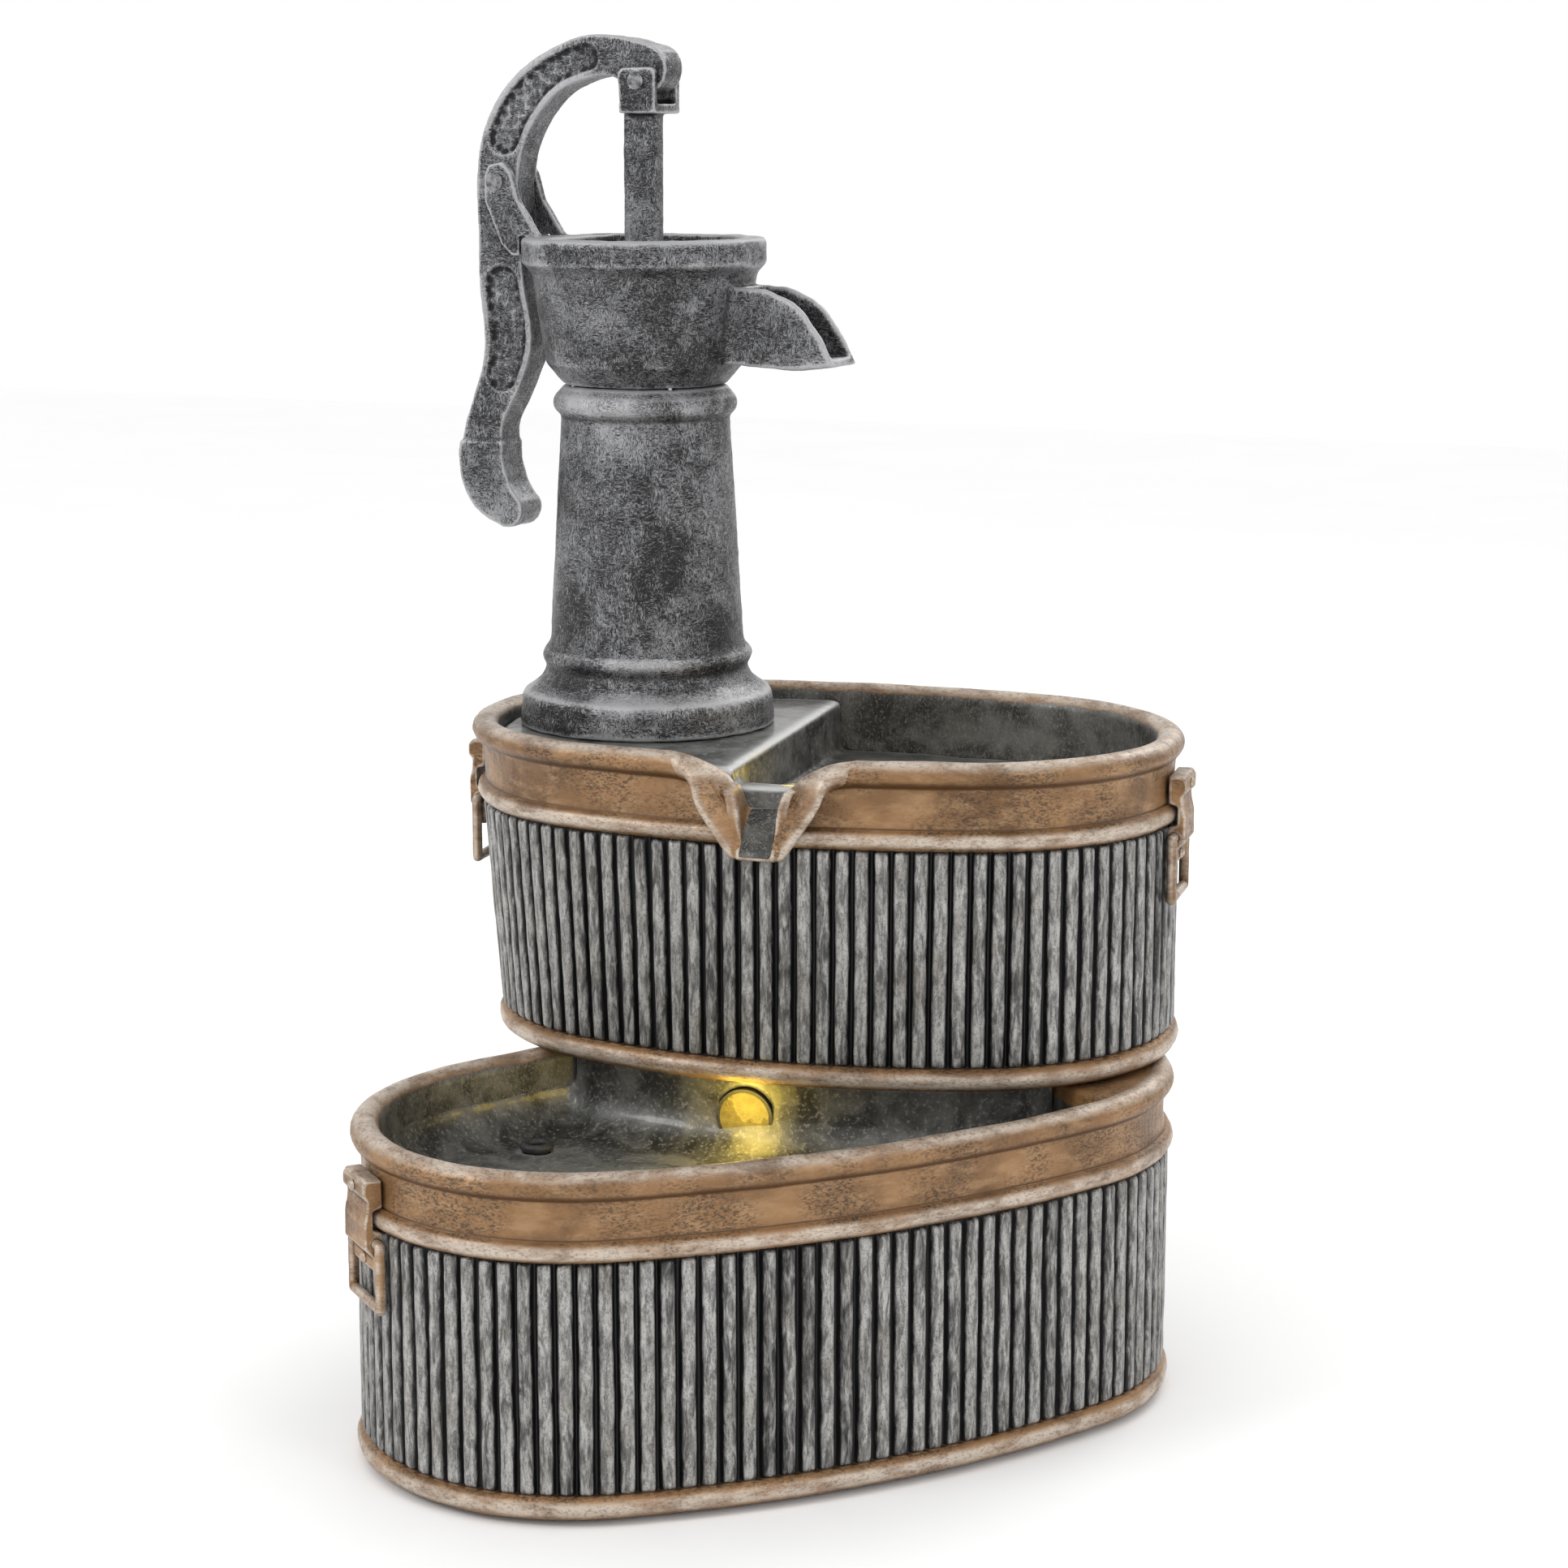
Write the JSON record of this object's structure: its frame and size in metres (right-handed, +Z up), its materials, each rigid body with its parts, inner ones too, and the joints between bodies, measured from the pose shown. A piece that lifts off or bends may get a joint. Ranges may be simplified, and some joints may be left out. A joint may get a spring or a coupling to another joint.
{
  "type": "hand pump garden fountain",
  "caption": "Garden fountain: a decorative hand well pump with a hinged handle and open spout, standing on two fanned oval ribbed tubs with drop rings.",
  "frame": {"origin": "centre of the lower tub's underside, on the ground, at the middle foot pad", "axes": "+Z up; the spout points along +X and the handle hangs on the -X side, in a plane parallel to XZ; the fountain's front faces about -Y"},
  "size_m": [0.4668, 0.4925, 0.7871],
  "materials": {
    "tub_finish": "cast resin painted as ribbed metal, silver dry-brushed ribs over black, antique copper-gold bands",
    "basin_resin": "cast resin, dark mottled grey, smooth and wet",
    "gunmetal_resin": "cast resin painted as old iron, black with silver dry-brushing",
    "aged_bronze": "cast parts painted as aged bronze",
    "dark_steel": "darkened steel",
    "zinc_steel": "zinc-plated steel",
    "black_rubber": "soft black rubber",
    "black_plastic": "moulded black plastic",
    "magnet_grey": "plastic-bound magnet",
    "ground_steel": "ground stainless steel",
    "hose_pvc": "clear grey hose",
    "led_white": "white board with light emitting diodes",
    "lamp_lens": "clear moulded lens"
  },
  "bodies": {
    "base": {"lower_tub": "tub_finish", "basin_tray": "basin_resin", "drain_plug": "black_rubber", "foot_pads": "black_rubber", "upper_tub": "tub_finish", "pool_deck": "basin_resin", "tub_screws": "zinc_steel", "ring_straps": "aged_bronze", "strap_rivets": "aged_bronze", "pump_column": "gunmetal_resin", "column_screws": "zinc_steel", "pump_bowl": "gunmetal_resin", "bowl_screws": "zinc_steel", "bowl_plate": "gunmetal_resin", "plate_screws": "zinc_steel", "handle_bearer": "gunmetal_resin", "bearer_screws": "zinc_steel", "handle_pin": "dark_steel", "motor_housing": "black_plastic", "motor_cover": "black_plastic", "rotor_shaft": "ground_steel", "suction_feet": "black_rubber", "riser_hose": "hose_pvc", "hose_clips": "zinc_steel", "outlet_elbow": "black_plastic", "lamp_housings": "black_plastic", "lamp_boards": "led_white", "lamp_lenses": "lamp_lens", "cable_gland": "black_plastic", "gland_nut": "black_plastic"},
    "handle": {"handle": "gunmetal_resin"},
    "rod": {"pump_rod": "gunmetal_resin", "fork_pin": "dark_steel"},
    "rotor": {"rotor": "magnet_grey"},
    "flow_knob": {"flow_knob": "black_plastic"},
    "ring_upper_right": {"drop_ring_upper_right": "aged_bronze"},
    "ring_upper_left": {"drop_ring_upper_left": "aged_bronze"},
    "ring_lower_rear": {"drop_ring_lower_rear": "aged_bronze"},
    "ring_lower_front": {"drop_ring_lower_front": "aged_bronze"}
  },
  "joints": [
    {"name": "handle_hinge", "type": "hinge", "parent": "base", "child": "handle", "pos_m": [-0.23, 0.125, 0.701], "axis": [0, 1, 0], "range_deg": [0, 30]},
    {"name": "rod_hinge", "type": "hinge", "parent": "handle", "child": "rod", "pos_m": [-0.136, 0.125, 0.76], "axis": [0, 1, 0], "range_deg": [-30, 0]},
    {"name": "rotor_spin", "type": "hinge", "parent": "base", "child": "rotor", "pos_m": [0.015, 0.1, 0.0405], "axis": [1, 0, 0], "continuous": true},
    {"name": "flow_knob_turn", "type": "hinge", "parent": "base", "child": "flow_knob", "pos_m": [0.051, 0.1, 0.0405], "axis": [1, 0, 0], "range_deg": [0, 90]},
    {"name": "ring_upper_right_hinge", "type": "hinge", "parent": "base", "child": "ring_upper_right", "pos_m": [0.1897, 0.15803, 0.328], "axis": [0.1392, -0.9903, 0], "range_deg": [0, 100]},
    {"name": "ring_upper_left_hinge", "type": "hinge", "parent": "base", "child": "ring_upper_left", "pos_m": [-0.23651, 0.09813, 0.328], "axis": [-0.1392, 0.9903, 0], "range_deg": [0, 100]},
    {"name": "ring_lower_rear_hinge", "type": "hinge", "parent": "base", "child": "ring_lower_rear", "pos_m": [0.15864, 0.18906, 0.14], "axis": [0.766, -0.6428, 0], "range_deg": [0, 100]},
    {"name": "ring_lower_front_hinge", "type": "hinge", "parent": "base", "child": "ring_lower_front", "pos_m": [-0.15864, -0.18906, 0.14], "axis": [-0.766, 0.6428, 0], "range_deg": [0, 100]}
  ],
  "couplings": [
    {"joint": "rod_hinge", "follows": "handle_hinge", "ratio": -1}
  ]
}
